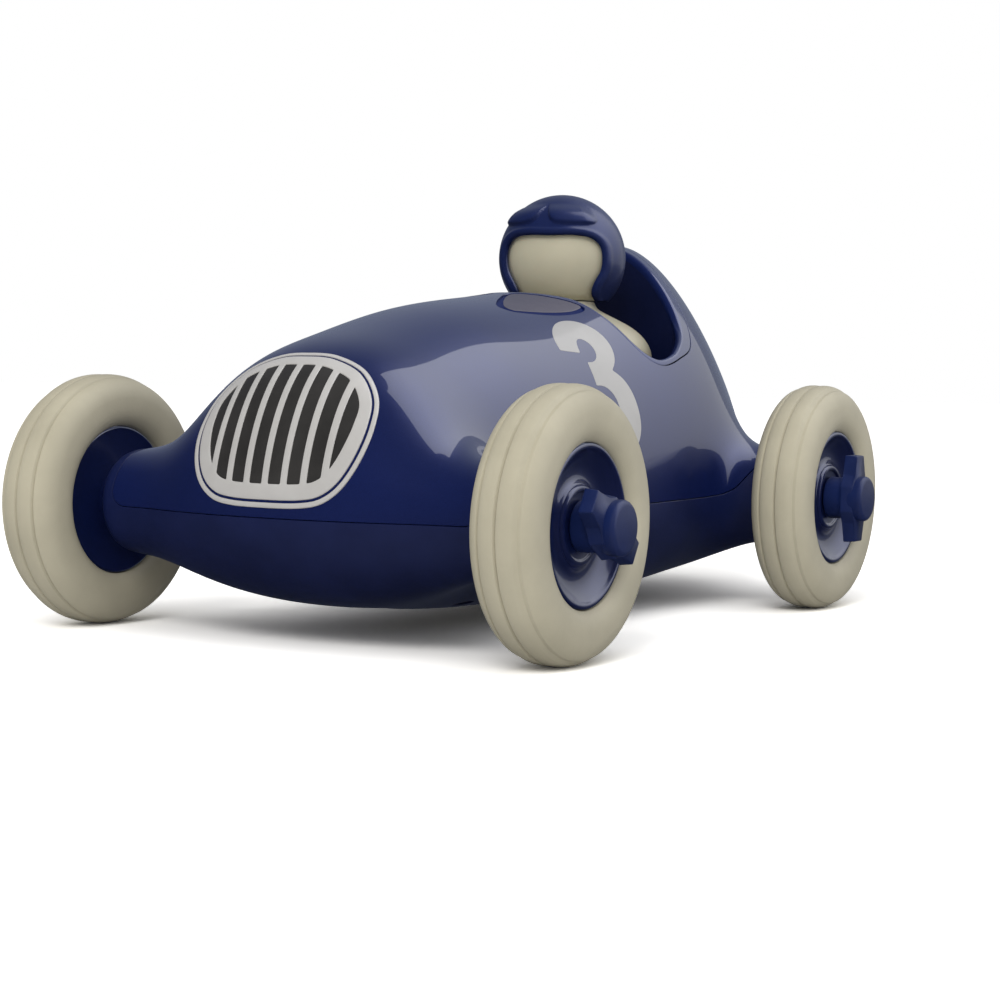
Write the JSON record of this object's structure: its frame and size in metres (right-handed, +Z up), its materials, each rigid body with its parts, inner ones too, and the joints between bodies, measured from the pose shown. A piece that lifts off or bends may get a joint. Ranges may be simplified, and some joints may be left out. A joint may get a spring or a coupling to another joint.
{
  "type": "toy racing car",
  "caption": "Push-along toy racing car with a two-shell body, slotted nose grille, open cockpit, lift-out helmeted driver, ribbed rubber tyres and winged wheel nuts.",
  "frame": {"origin": "on the ground under the middle of the car's bounding box", "axes": "+X towards the nose, +Y the car's left side, +Z up"},
  "size_m": [0.2703, 0.183, 0.1285],
  "materials": {
    "gloss_blue": "high gloss metallic",
    "satin_blue": "satin",
    "cockpit_dark": "matte",
    "grille_silver": "brushed",
    "figure_cream": "satin",
    "tyre_rubber": "matte",
    "steel": "turned",
    "bush_nylon": "moulded"
  },
  "bodies": {
    "car": {"upper_shell": "gloss_blue", "lower_shell": "satin_blue", "cockpit_surround": "gloss_blue", "cockpit_tub": "cockpit_dark", "grille_plate": "grille_silver", "bush_front_left": "bush_nylon", "bush_front_right": "bush_nylon", "bush_rear_left": "bush_nylon", "bush_rear_right": "bush_nylon", "washer_front_left": "steel", "washer_front_right": "steel", "washer_rear_left": "steel", "washer_rear_right": "steel", "shell_screw_front_left": "steel", "shell_screw_front_right": "steel", "shell_screw_rear_left": "steel", "shell_screw_rear_right": "steel"},
    "front_wheels": {"axle_front": "steel", "hub_front_left": "gloss_blue", "tyre_front_left": "tyre_rubber", "spinner_front_left": "satin_blue", "hub_front_right": "gloss_blue", "tyre_front_right": "tyre_rubber", "spinner_front_right": "satin_blue"},
    "rear_wheels": {"axle_rear": "steel", "hub_rear_left": "gloss_blue", "tyre_rear_left": "tyre_rubber", "spinner_rear_left": "satin_blue", "hub_rear_right": "gloss_blue", "tyre_rear_right": "tyre_rubber", "spinner_rear_right": "satin_blue"},
    "driver": {"driver_torso": "figure_cream"},
    "driver_head": {"driver_head": "figure_cream", "driver_helmet": "gloss_blue"}
  },
  "joints": [
    {"name": "front_axle_spin", "type": "hinge", "parent": "car", "child": "front_wheels", "pos_m": [0.10015, 0, 0.035], "axis": [0, 1, 0], "continuous": true},
    {"name": "rear_axle_spin", "type": "hinge", "parent": "car", "child": "rear_wheels", "pos_m": [-0.06615, 0, 0.035], "axis": [0, 1, 0], "continuous": true},
    {"name": "driver_lift", "type": "slide", "parent": "car", "child": "driver", "axis": [0, 0, 1], "range_m": [0, 0.06]},
    {"name": "head_turn", "type": "hinge", "parent": "driver", "child": "driver_head", "pos_m": [-0.032, 0, 0.1], "axis": [0, 0, 1], "range_deg": [-90, 60]}
  ]
}
